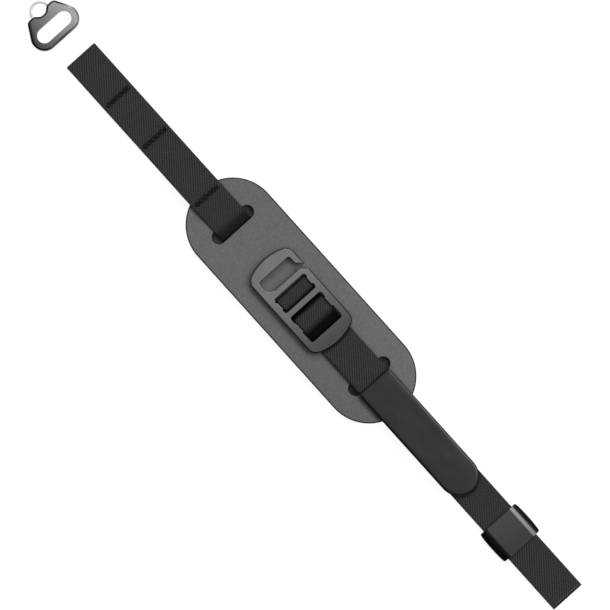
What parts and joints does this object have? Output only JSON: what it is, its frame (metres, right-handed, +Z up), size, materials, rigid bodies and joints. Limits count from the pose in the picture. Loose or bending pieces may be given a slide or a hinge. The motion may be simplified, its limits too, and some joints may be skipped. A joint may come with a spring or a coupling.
{
  "type": "camera hand strap",
  "caption": "Camera hand strap laid flat: padded hand plate on doubled webbing, metal hook buckle, pull tab, sliding keeper, and a lug connector with split ring beside it.",
  "frame": {"origin": "centre of the pad's underside, on the plane that the strap lies on", "axes": "+X along the strap from its bar-tacked end towards the keeper end, +Y across the strap towards the hook's open side, +Z up, away from the pad's underside"},
  "size_m": [0.436, 0.0516, 0.0097],
  "materials": {
    "pad_panel": "fine-grained grey synthetic leather, matt",
    "pad_foam": "dark closed-cell foam",
    "pad_lining": "dark soft lining cloth",
    "webbing": "black woven webbing with a diagonal twill",
    "thread": "black bar-tack thread",
    "anodised_metal": "grey satin anodised metal with bright chamfers",
    "connector_metal": "pale satin metal",
    "bright_steel": "bright steel wire",
    "soft_rubber": "black satin moulded rubber",
    "black_plastic": "black semi-gloss moulded plastic"
  },
  "bodies": {
    "strap": {"pad_top_panel": "pad_panel", "pad_foam_core": "pad_foam", "pad_back_lining": "pad_lining", "long_strap": "webbing", "buckle_loop_strap": "webbing", "bar_tack_1": "thread", "bar_tack_2": "thread", "bar_tack_3": "thread", "hook_buckle": "anodised_metal", "pull_tab": "soft_rubber", "connector_body": "connector_metal", "connector_back_cover": "connector_metal"},
    "keeper": {"strap_keeper": "black_plastic"},
    "ring": {"split_ring": "bright_steel"}
  },
  "joints": [
    {"name": "keeper_slide", "type": "slide", "parent": "strap", "child": "keeper", "axis": [1, 0, 0], "range_m": [-0.0195, 0.035]},
    {"name": "ring_spin", "type": "hinge", "parent": "strap", "child": "ring", "pos_m": [-0.2122, -0.0003, 0.0017], "axis": [0, 0, 1], "continuous": true}
  ]
}
